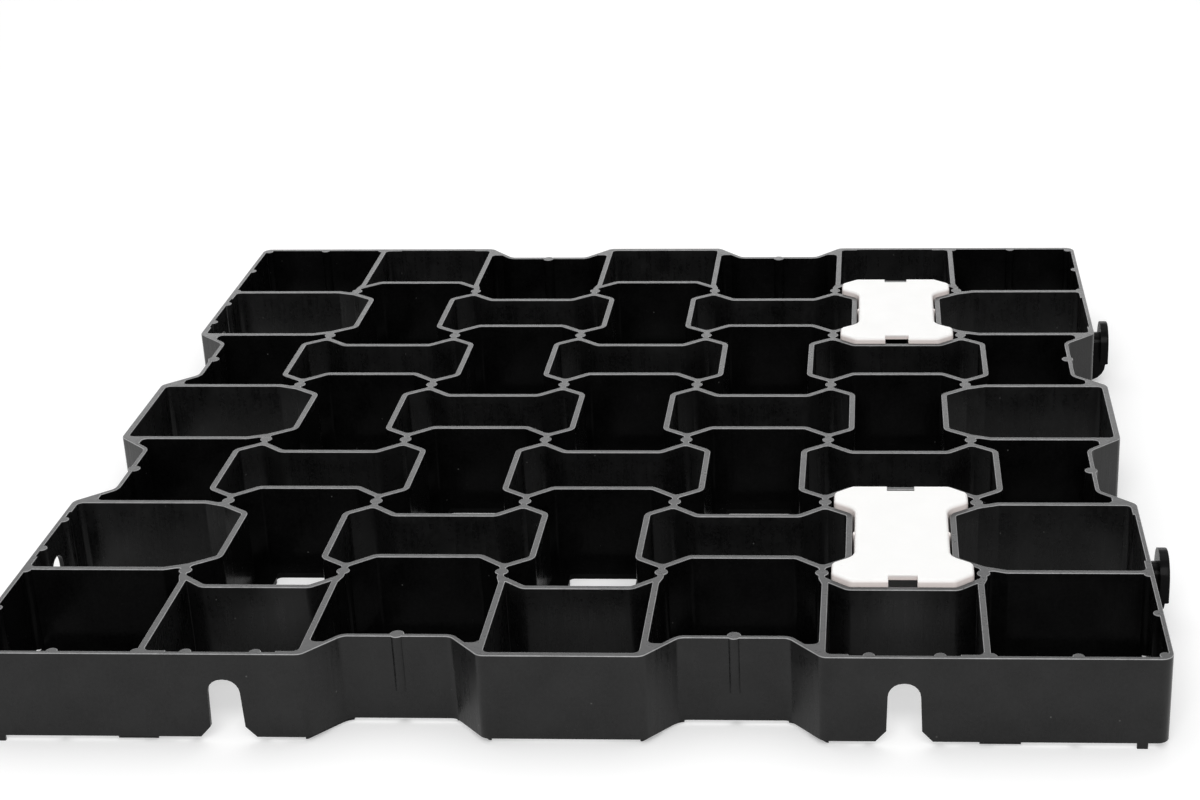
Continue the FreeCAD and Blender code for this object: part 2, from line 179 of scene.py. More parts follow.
# Finishes of the black plastic: dark ground and lighter clouds, gloss and refraction
MATT = {
    "dark": (0.002, 0.002, 0.00206), "cloud": (0.009, 0.009, 0.0091), "roughness": 0.2, "ior": 1.35,
}
POLISHED = {
    "dark": (0.001, 0.001, 0.00103), "cloud": (0.0045, 0.0045, 0.00455), "roughness": 0.12, "ior": 1.13,
}
RIM_HIGHLIGHT_COLOUR = (0.4, 0.4, 0.404)  # painted highlight on the rounded edges of the wall tops
# painted sheen: the flat wall tops made lighter, in place of their reflection of the lamps
WALL_TOP_SHEEN_COLOUR = (0.05, 0.05, 0.051)
DUST_COLOUR = (0.06, 0.06, 0.0582)
EVEN_HIGHLIGHT = 0.5  # share of the rims' painted highlight that is the same everywhere; the rest follows the clouds
BLACK_GRAIN = {"Coarse": 55.0, "Fine": 700.0}
BLACK_DUST = {"Scale": 150.0, "Size": 0.055}
STREAK_SCALE = 520.0
MOTTLE_ROUGHNESS = 0.10  # added by the clouds
STREAK_ROUGHNESS = 0.08  # added by the streaks
COLLAR_ROUGHNESS = 0.03  # added on the collar under the wall tops
STREAK_RELIEF = 0.5  # height of the streaks against that of the clouds
BLACK_RELIEF = 0.2  # strength of the bump

# Finish of the white plastic: each pair is mixed by the clouds
# painted warm shade: the caps' sides darker and pinker than their tops
CAP_SIDE_SHADE_COLOURS = ((0.85, 0.77, 0.74), (0.82, 0.74, 0.71))
CAP_TOP_COLOURS = ((0.87, 0.865, 0.855), (0.85, 0.845, 0.835))
CAP_DUST_COLOUR = (0.80, 0.79, 0.77)
WHITE_GRAIN = {"Coarse": 70.0, "Fine": 900.0}
WHITE_DUST = {"Scale": 130.0, "Size": 0.05}
WHITE_ROUGHNESS = 0.36
WHITE_MOTTLE_ROUGHNESS = 0.12
WHITE_RELIEF = 0.06

# Bands under a top, in millimetres: the depths at which they begin and are full
# band of the painted highlight on the rounded edges of the wall tops
RIM_HIGHLIGHT_BAND = (RIM, 0.7 * RIM)
# band of the painted sheen on the flat wall tops
WALL_TOP_SHEEN_BAND = (0.1 * RIM, 0.03 * RIM)
COLLAR_BAND = (4.6, 3.9)
CAP_TOP_BAND = (CAP_RIM, 0.1)

# Patterns that both plastics share
CLOUDS = {"Detail": 3.0, "Roughness": 0.6}
GRIT = {"Detail": 1.0, "Roughness": 0.5}
STREAKS = {"Detail": 2.0, "Roughness": 0.55}
CLOUD_SHARE = 0.65  # of the grain; the rest is grit
GRAIN_RANGE = (0.3, 0.7)  # noise values spread out to none and full
STREAK_RANGE = (0.35, 0.65)
STREAK_STRETCH = (1.0, 1.0, 0.035)  # draws the noise out upright
SPECKLESS = 0.8  # share of the places for a speck that stay empty
RELIEF_DEPTH = 0.0002  # metres

# Kinds of node sockets, and the places of a Mix node's colour sockets
GEOMETRY = "NodeSocketGeometry"
NUMBER = "NodeSocketFloat"
OBJECT = "NodeSocketObject"
VECTOR = "NodeSocketVector"
MATERIAL = "NodeSocketMaterial"
MIX_FACTOR = 0
MIX_FIRST = 6
MIX_SECOND = 7
MIX_RESULT = 2


def is_lying(column, row):
    """Lying bones and standing bones alternate like the squares of a chessboard."""
    return (column + row) % 2 == 1


def lattice(index):
    """Middle of a column or row, counted from 1 at the left or front."""
    return (index - (CELLS + 1) / 2) * PITCH


def cell_middle(column, row):
    return Vector((lattice(column), lattice(row)))


def cell_place(column, row):
    """Middle of a cell on the floor, in metres in the shared frame."""
    return tuple((lattice(index) + MIDDLE) * MM for index in (column, row))


def at_edge(index):
    return index in (1, CELLS)


def is_last(index, side):
    """Whether a column or row is the last one towards a side, -1 or 1."""
    return index == (CELLS if side > 0 else 1)


def side_turns():
    """Turns that carry the front onto each of the unit's four sides."""
    return [Matrix.Rotation(quarter * QUARTER_TURN, 2) for quarter in range(4)]


def quarter_turns(points):
    """Plan points on the unit's four sides, side after side."""
    return [turn @ point for turn in side_turns() for point in points]


def four_sides(corners):
    """The same outline on the unit's four sides."""
    return [[(turn @ place, radius) for place, radius in corners] for turn in side_turns()]


def bent(points, distance, bend):
    """Corners of a counter-clockwise outline moved inwards, each with the radius of its bend."""
    corners = []
    for index, corner in enumerate(points):
        before = (corner - points[index - 1]).normalized()
        after = (points[(index + 1) % len(points)] - corner).normalized()
        moved = corner + (before + after).orthogonal() * (distance / (1 + before.dot(after)))
        radius = bend - distance if before.cross(after) > 0 else bend + distance
        corners.append((moved, radius))
    return corners


def rounded(*corners):
    """Outline from corners given as x, y and the radius of the bend."""
    return [(Vector((x, y)), radius) for x, y, radius in corners]


def rectangle(low_x, low_y, high_x, high_y, radius=PATCH_BEND):
    corners = ((low_x, low_y), (high_x, low_y), (high_x, high_y), (low_x, high_y))
    return rounded(*((x, y, radius) for x, y in corners))


def outer_outline():
    """Corners of the unit's outer face with two indents on each side."""
    side = [Vector((-HALF_UNIT, -HALF_UNIT))]
    back = INDENT_DEPTH - HALF_UNIT
    flat_end = INDENT_FLAT / 2
    flank_end = flat_end + INDENT_RUN
    for cell in INDENT_CELLS:
        middle = lattice(cell)
        side.append(Vector((middle - flank_end, -HALF_UNIT)))
        side.append(Vector((middle - flat_end, back)))
        side.append(Vector((middle + flat_end, back)))
        side.append(Vector((middle + flank_end, -HALF_UNIT)))
    return quarter_turns(side)


def lobe(column):
    """Where a standing bone's two slanted walls cross an upright line near their node."""
    along_lower = (column - HALF + BULGE) / BULGE
    lower = END_FLAT / 2 + (HALF - KNUCKLE_GAP / 2 - END_FLAT / 2) * along_lower
    along_upper = (HALF - column) / (HALF - DENT_FLAT / 2)
    upper = HALF + KNUCKLE_GAP / 2 + (DENT - KNUCKLE_GAP / 2) * along_upper
    return [(column, lower), (column, upper)]


def corner_walls(column, row, side_x, side_y):
    """Wall middles round one corner of a cell, from its x side to its y side."""
    lying = is_lying(column, row)
    outwards = 1 if lying else -1
    spoke = HALF - outwards * SPOKE_SHIFT
    if lying:
        beyond = HALF + EDGE_MARGIN - OUTER_WALL + WALL / 2
    elif at_edge(column) and at_edge(row):
        beyond = HALF + 2 * EDGE_MARGIN
    else:
        beyond = INDENT_POCKET + WALL / 2
    last_x = is_last(column, side_x)
    last_y = is_last(row, side_y)
    if last_x and last_y:
        return [(beyond, beyond)]
    if last_x:
        return [(beyond, spoke)]
    if last_y:
        return [(spoke, beyond)]
    beside = (spoke, HALF - SPOKE_LEAD) if at_edge(row) else (HALF + outwards * BULGE, END_FLAT / 2)
    above = (HALF - SPOKE_LEAD, spoke) if at_edge(column) else (DENT_FLAT / 2, HALF - outwards * DENT)
    node = [(HALF, HALF - KNUCKLE_GAP / 2)] if lying else lobe(HALF)
    return [beside] + node + [above]


def around(quarter):
    """Closed outline from the corner walls that quarter(side_x, side_y) gives for each corner."""
    outline = []
    for side_x, side_y in ((1, 1), (-1, 1), (-1, -1), (1, -1)):
        corner = [Vector((side_x * x, side_y * y)) for x, y in quarter(side_x, side_y)]
        if side_x * side_y < 0:
            corner.reverse()
        outline += corner
    return outline


def cell_corners(column, row):
    """Inner face of a cell's walls."""
    middle = cell_middle(column, row)
    local = around(lambda side_x, side_y: corner_walls(column, row, side_x, side_y))
    return bent([middle + point for point in local], WALL / 2, BEND_RADIUS)


def opening_corners(column, row):
    """Floor opening of a standing bone, inside its ledge."""
    waist = HALF - BULGE - WALL / 2 - LEDGE_SIDE
    end = HALF + DENT - WALL / 2 - LEDGE_END
    spoke = HALF + SPOKE_SHIFT - WALL / 2 - LEDGE_SPOKE
    reach_x = spoke if at_edge(row) else waist
    reach_y = spoke if at_edge(column) else end

    def quarter(side_x, side_y):
        if not (at_edge(column) or at_edge(row)):
            return [(waist, end - OPENING_FLARE_RUN), (waist + OPENING_FLARE, end)]
        past_x = PITCH if is_last(column, side_x) else reach_x
        past_y = PITCH if is_last(row, side_y) else reach_y
        return [(past_x, past_y)]

    middle = cell_middle(column, row)
    return bent([middle + point for point in around(quarter)], 0, OPENING_RADIUS)


def recess_corners():
    """Shallow recesses behind the joining places of all four sides."""
    recesses = []
    low_y = OUTER_THIN - HALF_UNIT
    high_y = OUTER_WALL + CUT - HALF_UNIT
    for cell in JOIN_CELLS:
        low_x = lattice(cell) - THIN_PATCH / 2
        recesses += four_sides(rectangle(low_x, low_y, low_x + THIN_PATCH, high_y))
    return recesses


def foot_corners():
    """Small feet that carry the outer wall near the unit's corners."""
    feet = []
    low_y = CORNER_FOOT_SETBACK - HALF_UNIT
    for side in (-1, 1):
        low_x = side * (HALF_UNIT - CORNER_FOOT_INSET) - CORNER_FOOT / 2
        feet += four_sides(rectangle(low_x, low_y, low_x + CORNER_FOOT, OUTER_THIN - HALF_UNIT))
    return feet


def post_places():
    """Middles of the node posts and of the ribs inside the outer wall, each with its radius."""
    posts = []
    for column in range(1, CELLS):
        for row in range(1, CELLS):
            posts.append((Vector((lattice(column) + HALF, lattice(row) + HALF)), NODE_POST / 2))
    thin_face = HALF_UNIT - OUTER_THIN
    spoke = lattice(CELLS) - HALF - SPOKE_SHIFT + WALL / 2
    ribs = [Vector((lattice(cell), -thin_face)) for cell in (1, CELLS)]
    ribs += [Vector((side * spoke, -thin_face)) for side in (-1, 1)]
    ribs.append(Vector((thin_face - WALL / 2, WALL / 2 - thin_face)))
    ribs = quarter_turns(ribs)
    for cell in JOIN_CELLS:
        for side in (-1, 1):
            along = lattice(cell) + side * NOTCH_RIB
            ribs += [Vector((along, -thin_face)), Vector((-thin_face, along))]
    return posts + [(rib, RIB_RADIUS) for rib in ribs] + indent_rib_places()


def indent_rib_places():
    """Middles of the ribs that show on both faces of the indents."""
    middle = INDENT_DEPTH + OUTER_THIN - HALF_UNIT
    ribs = quarter_turns([Vector((lattice(cell), middle)) for cell in INDENT_CELLS])
    return [(rib, INDENT_RIB) for rib in ribs]


def join_places():
    """Lines on which a notch and a headed stem face each other, each with its turn."""
    places = []
    for cell in JOIN_CELLS:
        places.append((Vector((lattice(cell), 0)), 0.0))
        places.append((Vector((0, -lattice(cell))), -QUARTER_TURN))
    return places


def notch_corners():
    """Upright outline of a notch: a round top above a bevelled mouth, height along y."""
    half = NOTCH_WIDTH / 2
    throat = half + NOTCH_TAPER
    mouth = NOTCH_MOUTH / 2 + (NOTCH_MOUTH / 2 - throat) / NOTCH_BEVEL * CUT
    low = WALL_LIFT - CUT
    bevel_top = WALL_LIFT + NOTCH_BEVEL
    arch = half * NOTCH_ARCH
    return rounded((-mouth, low, SHARP_BEND), (mouth, low, SHARP_BEND), (throat, bevel_top, BEVEL_BEND),
                   (half, NOTCH_TOP, arch), (-half, NOTCH_TOP, arch), (-throat, bevel_top, BEVEL_BEND))


def arch_corners(half, top, bottom):
    """Upright outline with a round top, height along y."""
    return rounded((-half, bottom, SHARP_BEND), (half, bottom, SHARP_BEND),
                   (half, top, half), (-half, top, half))


def stem_side_corners():
    """Side view of a stem, with its toe rounded up to the head: x away from the unit, height along y."""
    root = HALF_UNIT - OUTER_THIN / 2
    end = HALF_UNIT + REACH - HEAD_LIP
    return rounded((root, WALL_LIFT, SHARP_BEND), (end, WALL_LIFT, end - HALF_UNIT),
                   (end, NOTCH_TOP, SHARP_BEND), (root, NOTCH_TOP, SHARP_BEND))


def upside_down(corners):
    """The same outline with its heights along -y, still counter-clockwise."""
    return [(Vector((place.x, -place.y)), radius) for place, radius in reversed(corners)]


def cap_outline():
    """Line of the cell's wall middles as a cap follows it, round the cell's middle."""
    column_line = HALF - NODE_POST / 2 - CAP_POST_GAP + WALL / 2 + CAP_GAP
    quarter = [(HALF - BULGE, END_FLAT / 2)] + lobe(column_line) + [(DENT_FLAT / 2, HALF + DENT)]
    return around(lambda side_x, side_y: quarter)


def cap_end_strips(low_x, width, reach, depth):
    """Rectangles inside both ends of a cap."""
    strips = []
    for way in (-1, 1):
        low_y = min(way * reach, way * (reach - depth))
        strips.append(rectangle(low_x, low_y, low_x + width, low_y + depth, STRIP_BEND))
    return strips


def add_node(tree, kind, inputs, **settings):
    """A new node with its settings, whose inputs are linked to sockets or set to values."""
    node = tree.nodes.new(kind)
    for name, value in settings.items():
        setattr(node, name, value)
    for name, value in inputs.items():
        for source in value if isinstance(value, list) else [value]:
            if isinstance(source, bpy.types.NodeSocket):
                tree.links.new(source, node.inputs[name])
            else:
                node.inputs[name].default_value = source
    return node


def add_math(tree, operation, *values):
    return add_node(tree, "ShaderNodeMath", dict(enumerate(values)), operation=operation).outputs[0]


def add_vector_math(tree, operation, *values):
    return add_node(tree, "ShaderNodeVectorMath", dict(enumerate(values)), operation=operation).outputs[0]


def add_group(tree, group, inputs):
    """What a group puts out, with its inputs linked to sockets or set to values."""
    kind = "ShaderNodeGroup" if group.bl_idname == "ShaderNodeTree" else "GeometryNodeGroup"
    return add_node(tree, kind, inputs, node_tree=group).outputs[0]


def spread_out(tree, value, none_at, full_at):
    """The value spread out from none to one between two of its values."""
    ends = {"Value": value, "From Min": none_at, "From Max": full_at}
    return add_node(tree, "ShaderNodeMapRange", ends).outputs[0]


def new_tree(name, kind, inputs, output, output_kind):
    """An empty node group with named inputs and one output; returns it, its inputs and its end node."""
    tree = bpy.data.node_groups.new(name, kind)
    for label, socket_kind in inputs.items():
        tree.interface.new_socket(name=label, in_out="INPUT", socket_type=socket_kind)
    tree.interface.new_socket(name=output, in_out="OUTPUT", socket_type=output_kind)
    start = tree.nodes.new("NodeGroupInput")
    end = tree.nodes.new("NodeGroupOutput")
    return tree, start.outputs, end


def add_camera():
    data = bpy.data.cameras.new("photo_view")
    data.sensor_width = CAMERA_SENSOR
    data.lens = CAMERA_LENS
    data.shift_x = CAMERA_SHIFT
    camera = bpy.data.objects.new("photo_view", data)
    turn = Matrix.Rotation(CAMERA_HEADING, 4, "Z") @ Matrix.Rotation(QUARTER_TURN - CAMERA_TILT, 4, "X")
    camera.matrix_world = Matrix.Translation(CAMERA_PLACE) @ turn @ Matrix.Rotation(CAMERA_ROLL, 4, "Z")
    bpy.context.scene.collection.objects.link(camera)
    bpy.context.scene.camera = camera


def add_lamp(name, place, aim, size, power):
    data = bpy.data.lights.new(name, "AREA")
    data.shape = "RECTANGLE"
    data.size, data.size_y = size
    data.energy = power
    lamp = bpy.data.objects.new(name, data)
    lamp.location = place
    lamp.rotation_euler = (Vector(aim) - Vector(place)).to_track_quat("-Z", "Y").to_euler()
    bpy.context.scene.collection.objects.link(lamp)


def add_world():
    """White surroundings that light the object less than they show."""
    world = bpy.data.worlds.new("white_studio")
    bpy.context.scene.world = world
    world.use_nodes = True
    tree = world.node_tree
    background = tree.nodes["Background"]
    path = tree.nodes.new("ShaderNodeLightPath")
    seen = add_math(tree, "MAXIMUM", path.outputs["Is Camera Ray"], path.outputs["Is Glossy Ray"])
    strength = add_math(tree, "MULTIPLY_ADD", seen, 1.0 - DOME_LIGHT, DOME_LIGHT)
    tree.links.new(strength, background.inputs["Strength"])
    background.inputs["Color"].default_value = WHITE


def under_box(tree, middle, half_x, half_y):
    """One on the floor inside a rectangle, falling to none at its edge."""
    place = tree.nodes.new("ShaderNodeTexCoord").outputs["Object"]
    offset = add_vector_math(tree, "SUBTRACT", place, (*middle, 0))
    apart = add_vector_math(tree, "ABSOLUTE", offset)
    past = add_vector_math(tree, "SUBTRACT", apart, (half_x, half_y, 0))
    sides = add_node(tree, "ShaderNodeSeparateXYZ", {"Vector": past})
    farther = add_math(tree, "MAXIMUM", sides.outputs["X"], sides.outputs["Y"])
    return spread_out(tree, farther, 0.0, -FLOOR_BLEND)


def floor_glow(tree):
    """Glow that keeps the floor white: seen all over but under the caps, mirrored only beside the unit."""
    path = tree.nodes.new("ShaderNodeLightPath")
    edge = (HALF_UNIT - INDENT_DEPTH / 2) * MM
    covered = under_box(tree, (MIDDLE * MM, MIDDLE * MM), edge, edge)
    beside_unit = add_math(tree, "SUBTRACT", 1.0, covered)
    mirrored = add_math(tree, "MULTIPLY", path.outputs["Is Glossy Ray"], beside_unit)
    capped = 0.0
    for cell in CAP_CELLS.values():
        under_cap = under_box(tree, cell_place(*cell), HALF * MM, (HALF + DENT) * MM)
        capped = add_math(tree, "ADD", under_cap, capped)
    beside_caps = add_math(tree, "SUBTRACT", 1.0, capped)
    shown = add_math(tree, "MULTIPLY", path.outputs["Is Camera Ray"], beside_caps)
    return add_math(tree, "MULTIPLY", add_math(tree, "MAXIMUM", shown, mirrored), FLOOR_GLOW)


def add_floor():
    ways = ((-1, -1), (1, -1), (1, 1), (-1, 1))
    mesh = bpy.data.meshes.new("floor")
    mesh.from_pydata([(x * FLOOR_HALF, y * FLOOR_HALF, 0) for x, y in ways], [], [(0, 1, 2, 3)])
    floor = bpy.data.objects.new("floor", mesh)
    bpy.context.scene.collection.objects.link(floor)
    material = bpy.data.materials.new("white_floor")
    material.use_nodes = True
    tree = material.node_tree
    shader = tree.nodes["Principled BSDF"]
    shader.inputs["Base Color"].default_value = (FLOOR_COLOUR, FLOOR_COLOUR, FLOOR_COLOUR, 1)
    shader.inputs["Roughness"].default_value = FLOOR_ROUGHNESS
    shader.inputs["Specular IOR Level"].default_value = 0.0
    shader.inputs["Emission Color"].default_value = WHITE
    tree.links.new(floor_glow(tree), shader.inputs["Emission Strength"])
    mesh.materials.append(material)


def grain_group():
    """Shader group: cloudy mottling of a moulded surface with a finer grain in it."""
    inputs = {"Vector": VECTOR, "Coarse": NUMBER, "Fine": NUMBER}
    tree, given, end = new_tree("moulded_grain", "ShaderNodeTree", inputs, "Grain", NUMBER)
    clouds = {"Vector": given["Vector"], "Scale": given["Coarse"], **CLOUDS}
    coarse = add_node(tree, "ShaderNodeTexNoise", clouds).outputs[0]
    grit = {"Vector": given["Vector"], "Scale": given["Fine"], **GRIT}
    fine = add_node(tree, "ShaderNodeTexNoise", grit).outputs[0]
    grit_part = add_math(tree, "MULTIPLY", fine, 1 - CLOUD_SHARE)
    mixed = add_math(tree, "MULTIPLY_ADD", coarse, CLOUD_SHARE, grit_part)
    tree.links.new(spread_out(tree, mixed, *GRAIN_RANGE), end.inputs[0])
    return tree


def streak_group():
    """Shader group: fine upright streaks left by drawing the piece from its mould."""
    inputs = {"Vector": VECTOR, "Scale": NUMBER}
    tree, given, end = new_tree("draw_streaks", "ShaderNodeTree", inputs, "Streaks", NUMBER)
    stretched = add_vector_math(tree, "MULTIPLY", given["Vector"], STREAK_STRETCH)
    lines = {"Vector": stretched, "Scale": given["Scale"], **STREAKS}
    noise = add_node(tree, "ShaderNodeTexNoise", lines).outputs[0]
    tree.links.new(spread_out(tree, noise, *STREAK_RANGE), end.inputs[0])
    return tree


def band_group():
    """Shader group: a mask that rises from none to full between two heights."""
    inputs = {"Vector": VECTOR, "None Below": NUMBER, "Full Above": NUMBER}
    tree, given, end = new_tree("height_band", "ShaderNodeTree", inputs, "Mask", NUMBER)
    level = add_node(tree, "ShaderNodeSeparateXYZ", {"Vector": given["Vector"]}).outputs["Z"]
    tree.links.new(spread_out(tree, level, given["None Below"], given["Full Above"]), end.inputs[0])
    return tree


def speck_group():
    """Shader group: sparse small specks of dust."""
    inputs = {"Vector": VECTOR, "Scale": NUMBER, "Size": NUMBER}
    tree, given, end = new_tree("dust_specks", "ShaderNodeTree", inputs, "Mask", NUMBER)
    cells = {"Vector": given["Vector"], "Scale": given["Scale"], "Randomness": 1.0}
    spots = add_node(tree, "ShaderNodeTexVoronoi", cells)
    near = add_math(tree, "LESS_THAN", spots.outputs["Distance"], given["Size"])
    chance = add_node(tree, "ShaderNodeSeparateColor", {"Color": spots.outputs["Color"]}).outputs[0]
    rare = add_math(tree, "GREATER_THAN", chance, SPECKLESS)
    tree.links.new(add_math(tree, "MULTIPLY", near, rare), end.inputs[0])
    return tree


def blend(tree, factor, first, second):
    """Colour between two colours; each is a socket or a plain colour."""
    inputs = {MIX_FACTOR: factor}
    for socket, colour in ((MIX_FIRST, first), (MIX_SECOND, second)):
        inputs[socket] = (*colour, 1) if isinstance(colour, tuple) else colour
    return add_node(tree, "ShaderNodeMix", inputs, data_type="RGBA").outputs[MIX_RESULT]


def band_under(tree, effects, place, top, depths):
    """Mask of a band that begins and is full at two depths under a top, in millimetres."""
    none_below, full_above = ((top - depth) * MM for depth in depths)
    heights = {"None Below": none_below, "Full Above": full_above}
    return add_group(tree, effects["band"], {"Vector": place, **heights})


def new_material(name):
    """A material with its tree, its shader and the place on the object."""
    material = bpy.data.materials.new(name)
    material.use_nodes = True
    tree = material.node_tree
    place = tree.nodes.new("ShaderNodeTexCoord").outputs["Object"]
    return material, tree, tree.nodes["Principled BSDF"], place


def add_bump(tree, shader, height, strength):
    relief = {"Height": height, "Strength": strength, "Distance": RELIEF_DEPTH}
    bump = add_node(tree, "ShaderNodeBump", relief)
    tree.links.new(bump.outputs[0], shader.inputs["Normal"])


def black_plastic(name, finish, effects):
    """Black moulding: mottled, streaked on its walls, with painted sheen on its wall tops and painted
    highlights on their rounded edges, and some dust.
    """
    material, tree, shader, place = new_material(name)
    mottle = add_group(tree, effects["grain"], {"Vector": place, **BLACK_GRAIN})
    streak = add_group(tree, effects["streaks"], {"Vector": place, "Scale": STREAK_SCALE})
    rim = band_under(tree, effects, place, HEIGHT, RIM_HIGHLIGHT_BAND)
    top = band_under(tree, effects, place, HEIGHT, WALL_TOP_SHEEN_BAND)
    collar = band_under(tree, effects, place, HEIGHT, COLLAR_BAND)
    dust = add_group(tree, effects["specks"], {"Vector": place, **BLACK_DUST})
    # painted highlight on the wall tops' rounded edges, patchy where the clouds are light
    highlight_strength = add_math(tree, "MULTIPLY_ADD", mottle, 1 - EVEN_HIGHLIGHT, EVEN_HIGHLIGHT)
    colour = blend(tree, mottle, finish["dark"], finish["cloud"])
    colour = blend(tree, add_math(tree, "MULTIPLY", rim, highlight_strength), colour, RIM_HIGHLIGHT_COLOUR)
    # painted sheen on the flat wall tops
    colour = blend(tree, top, colour, WALL_TOP_SHEEN_COLOUR)
    colour = blend(tree, dust, colour, DUST_COLOUR)
    tree.links.new(colour, shader.inputs["Base Color"])
    rough = add_math(tree, "MULTIPLY_ADD", mottle, MOTTLE_ROUGHNESS, finish["roughness"])
    rough = add_math(tree, "MULTIPLY_ADD", streak, STREAK_ROUGHNESS, rough)
    rough = add_math(tree, "MULTIPLY_ADD", collar, COLLAR_ROUGHNESS, rough)
    tree.links.new(rough, shader.inputs["Roughness"])
    shader.inputs["IOR"].default_value = finish["ior"]
    relief = add_math(tree, "MULTIPLY_ADD", streak, STREAK_RELIEF, mottle)
    add_bump(tree, shader, relief, BLACK_RELIEF)
    return material


def white_plastic(effects):
    """Satin white moulding, with painted warm shade on its sides below the lighter top."""
    material, tree, shader, place = new_material("white_plastic")
    mottle = add_group(tree, effects["grain"], {"Vector": place, **WHITE_GRAIN})
    top = band_under(tree, effects, place, CAP_TOP, CAP_TOP_BAND)
    dust = add_group(tree, effects["specks"], {"Vector": place, **WHITE_DUST})
    # painted warm shade on the sides, giving way to the plain white top
    side = blend(tree, mottle, *CAP_SIDE_SHADE_COLOURS)
    face = blend(tree, mottle, *CAP_TOP_COLOURS)
    colour = blend(tree, top, side, face)
    colour = blend(tree, dust, colour, CAP_DUST_COLOUR)
    tree.links.new(colour, shader.inputs["Base Color"])
    rough = add_math(tree, "MULTIPLY_ADD", mottle, WHITE_MOTTLE_ROUGHNESS, WHITE_ROUGHNESS)
    tree.links.new(rough, shader.inputs["Roughness"])
    add_bump(tree, shader, mottle, WHITE_RELIEF)
    return material


def upright_body_tree():
    """Node group: upright bodies on flat plan faces, whose rim curls in or out by a small radius."""
    sizes = ("Bottom", "Top", "Rim", "Way", "Over")
    inputs = {"Plan": GEOMETRY, **dict.fromkeys(sizes, NUMBER)}
    tree, given, end = new_tree("upright_body", "GeometryNodeTree", inputs, "Body", GEOMETRY)
    rim = given["Rim"]
    start = add_node(tree, "ShaderNodeCombineXYZ", {"Z": given["Bottom"]})
    base = add_node(tree, "GeometryNodeSetPosition", {"Geometry": given["Plan"], "Offset": start.outputs[0]})
    rim_start = add_math(tree, "SUBTRACT", given["Top"], rim)
    heights = [add_math(tree, "SUBTRACT", rim_start, given["Bottom"])]
    levels = [math.sin(math.radians(angle)) for angle in RIM_ANGLES]
    for lower, upper in zip(levels, levels[1:]):
        heights.append(add_math(tree, "MULTIPLY", rim, upper - lower))
    heights.append(add_math(tree, "MULTIPLY_ADD", rim, 1 - levels[-1], given["Over"]))
    body = base.outputs[0]
    raised = {}
    for height in heights:
        step = {"Mesh": body, "Offset": (0, 0, 1), "Offset Scale": height, "Individual": False}
        extruded = add_node(tree, "GeometryNodeExtrudeMesh", {**step, **raised}, mode="FACES")
        body = extruded.outputs["Mesh"]
        raised = {"Selection": extruded.outputs["Top"]}
    under = add_node(tree, "GeometryNodeFlipFaces", {"Mesh": base.outputs[0]})
    closed = add_node(tree, "GeometryNodeJoinGeometry", {"Geometry": [body, under.outputs[0]]})
    joined = {"Geometry": closed.outputs[0], "Distance": WELD}
    welded = add_node(tree, "GeometryNodeMergeByDistance", joined)
    place = tree.nodes.new("GeometryNodeInputPosition")
    level = add_node(tree, "ShaderNodeSeparateXYZ", {"Vector": place.outputs[0]})
    above = add_math(tree, "SUBTRACT", level.outputs["Z"], rim_start)
    rise = add_node(tree, "ShaderNodeClamp", {"Value": above, "Min": 0.0, "Max": rim}).outputs[0]
    rim_squared = add_math(tree, "MULTIPLY", rim, rim)
    rise_squared = add_math(tree, "MULTIPLY", rise, rise)
    left = add_math(tree, "MAXIMUM", add_math(tree, "SUBTRACT", rim_squared, rise_squared), 0.0)
    curl = add_math(tree, "SUBTRACT", rim, add_math(tree, "SQRT", left))
    normal = tree.nodes.new("GeometryNodeInputNormal")
    level_normal = add_vector_math(tree, "MULTIPLY", normal.outputs[0], (1, 1, 0))
    outwards = add_vector_math(tree, "NORMALIZE", level_normal)
    push = {0: outwards, "Scale": add_math(tree, "MULTIPLY", curl, given["Way"])}
    offset = add_node(tree, "ShaderNodeVectorMath", push, operation="SCALE")
    rimmed = {"Geometry": welded.outputs[0], "Offset": offset.outputs[0]}
    tree.links.new(add_node(tree, "GeometryNodeSetPosition", rimmed).outputs[0], end.inputs[0])
    return tree


def bent_plan(tree, outline):
    """Flat faces inside the outlines of a curve object, with its bends rounded."""
    source = add_node(tree, "GeometryNodeObjectInfo", {"Object": outline})
    radius = tree.nodes.new("GeometryNodeInputRadius")
    steps = {"Curve": source.outputs["Geometry"], "Count": BEND_STEPS, "Radius": radius.outputs[0]}
    soft = add_node(tree, "GeometryNodeFilletCurve", {**steps, "Limit Radius": True}, mode="POLY")
    return add_node(tree, "GeometryNodeFillCurve", {"Curve": soft.outputs[0]}, mode="NGONS").outputs[0]


def on_points(tree, places, shape, **pose):
    """Real copies of a shape on the points of an object."""
    source = add_node(tree, "GeometryNodeObjectInfo", {"Object": places})
    spread = {"Points": source.outputs["Geometry"], "Instance": shape, **pose}
    copies = add_node(tree, "GeometryNodeInstanceOnPoints", spread)
    return add_node(tree, "GeometryNodeRealizeInstances", {"Geometry": copies.outputs[0]}).outputs[0]


def point_size(tree):
    """What each point of an object carries: the radius of a post or rib, or the turn of a joining place."""
    return add_node(tree, "GeometryNodeInputNamedAttribute", {"Name": "size"}, data_type="FLOAT").outputs[0]


def round_plan(tree, places):
    """Flat discs on the points of an object, as wide as each point's size says."""
    circle = {"Vertices": POST_POINTS, "Radius": 1.0}
    disc = add_node(tree, "GeometryNodeMeshCircle", circle, fill_type="NGON")
    size = point_size(tree)
    scale = add_node(tree, "ShaderNodeCombineXYZ", {"X": size, "Y": size, "Z": 1.0})
    return on_points(tree, places, disc.outputs[0], Scale=scale.outputs[0])


